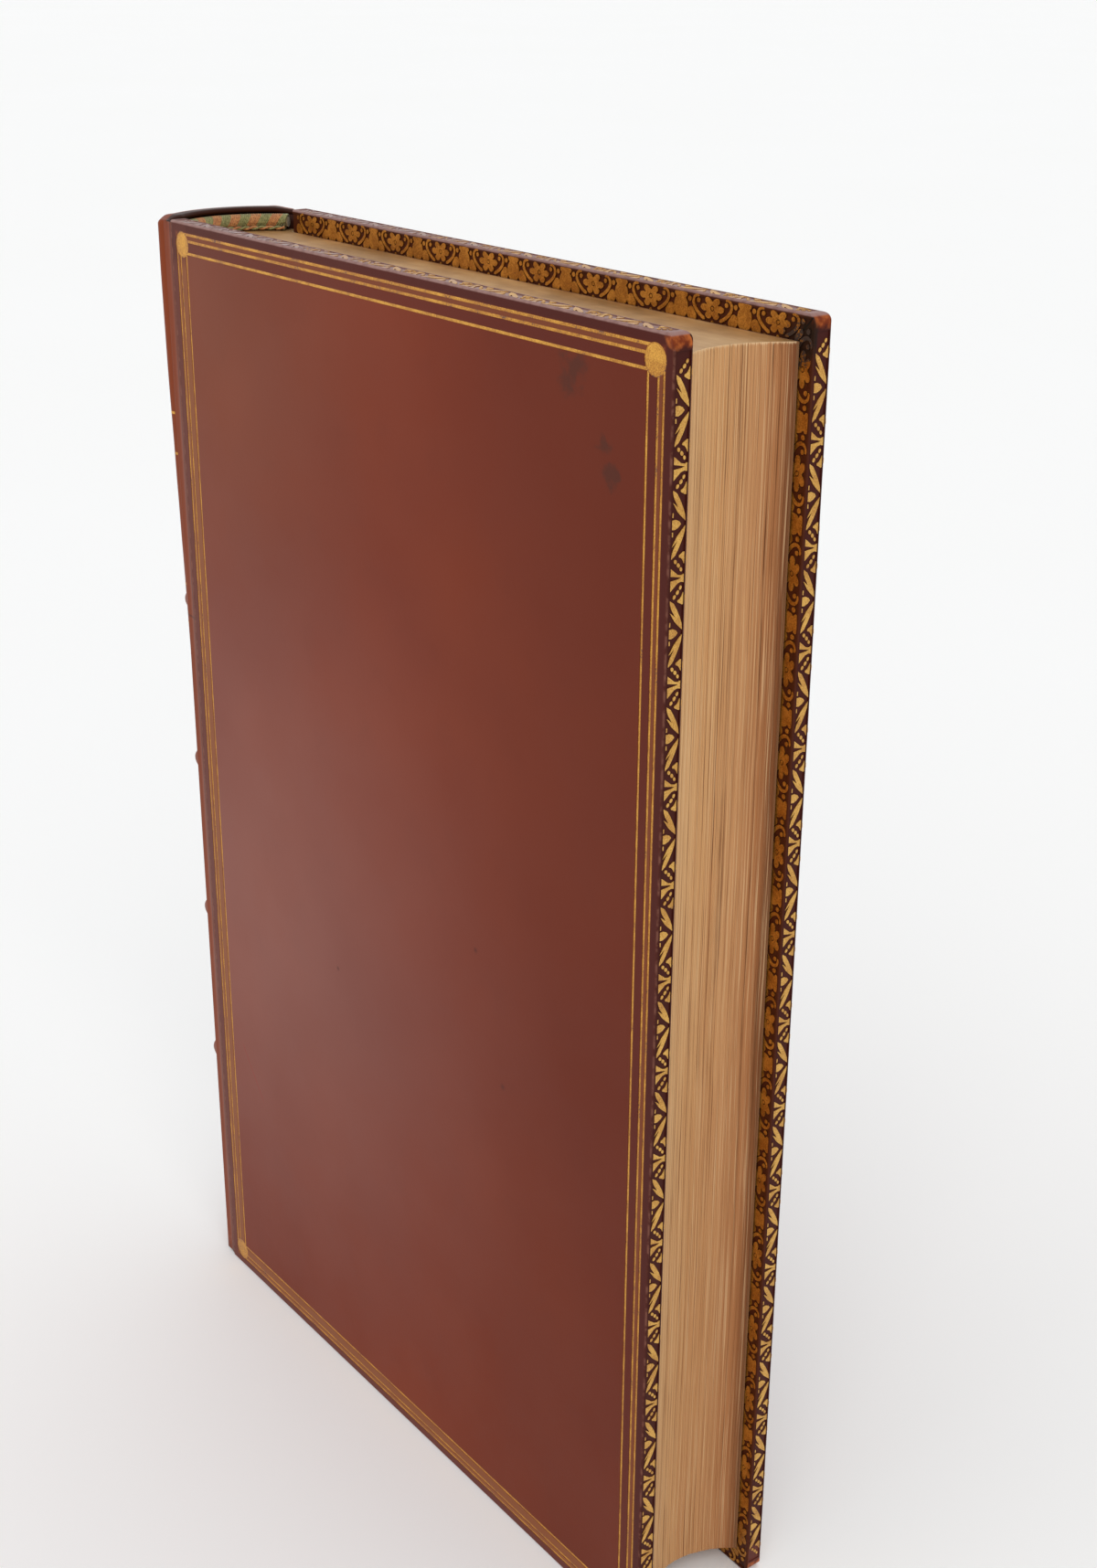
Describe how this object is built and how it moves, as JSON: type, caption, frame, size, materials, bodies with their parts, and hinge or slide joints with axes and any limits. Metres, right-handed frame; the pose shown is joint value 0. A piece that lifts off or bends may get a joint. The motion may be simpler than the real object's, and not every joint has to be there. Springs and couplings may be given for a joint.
{
  "type": "antique leather book",
  "caption": "Octavo book in full calf with raised bands, gilt fillets, edge roll and turn-ins; both covers open on their joints.",
  "frame": {"origin": "middle of the closed book's footprint, on the surface it stands on", "axes": "+X from the spine to the fore edge, +Y from the front cover to the back cover, +Z from tail to head"},
  "size_m": [0.1355, 0.0258, 0.2001],
  "materials": {
    "pages": "cut edges of old laid paper, gilt at the head",
    "endpaper": "plain aged paper, matt",
    "lining": "pasted lining paper",
    "linen": "twisted hemp cord",
    "green_silk": "silk thread, satin",
    "red_silk": "silk thread, satin",
    "pasteboard": "pressed pulp board",
    "calf": "polished red-brown calf, rubbed at the corners",
    "gilt": "gold leaf tooled into the leather, worn"
  },
  "bodies": {
    "text_block": {"text_block": "pages", "front_endpaper": "endpaper", "back_endpaper": "endpaper", "spine_lining": "lining", "cord_1": "linen", "cord_2": "linen", "cord_3": "linen", "cord_4": "linen", "cord_5": "linen", "head_endband_core": "linen", "head_endband_green_silk": "green_silk", "head_endband_red_silk": "red_silk", "tail_endband_core": "linen", "tail_endband_green_silk": "green_silk", "tail_endband_red_silk": "red_silk", "spine_leather": "calf", "spine_fillets": "gilt"},
    "front_cover": {"front_board": "pasteboard", "front_leather": "calf", "front_fillets": "gilt", "front_edge_roll": "gilt", "front_turn_in_gilt": "gilt", "front_pastedown": "endpaper"},
    "back_cover": {"back_board": "pasteboard", "back_leather": "calf", "back_fillets": "gilt", "back_edge_roll": "gilt", "back_turn_in_gilt": "gilt", "back_pastedown": "endpaper"}
  },
  "joints": [
    {"name": "front_cover_hinge", "type": "hinge", "parent": "text_block", "child": "front_cover", "pos_m": [-0.05749, -0.0129, 0], "axis": [0, 0, -1], "range_deg": [0, 170]},
    {"name": "back_cover_hinge", "type": "hinge", "parent": "text_block", "child": "back_cover", "pos_m": [-0.05749, 0.0129, 0], "axis": [0, 0, 1], "range_deg": [0, 170]}
  ]
}
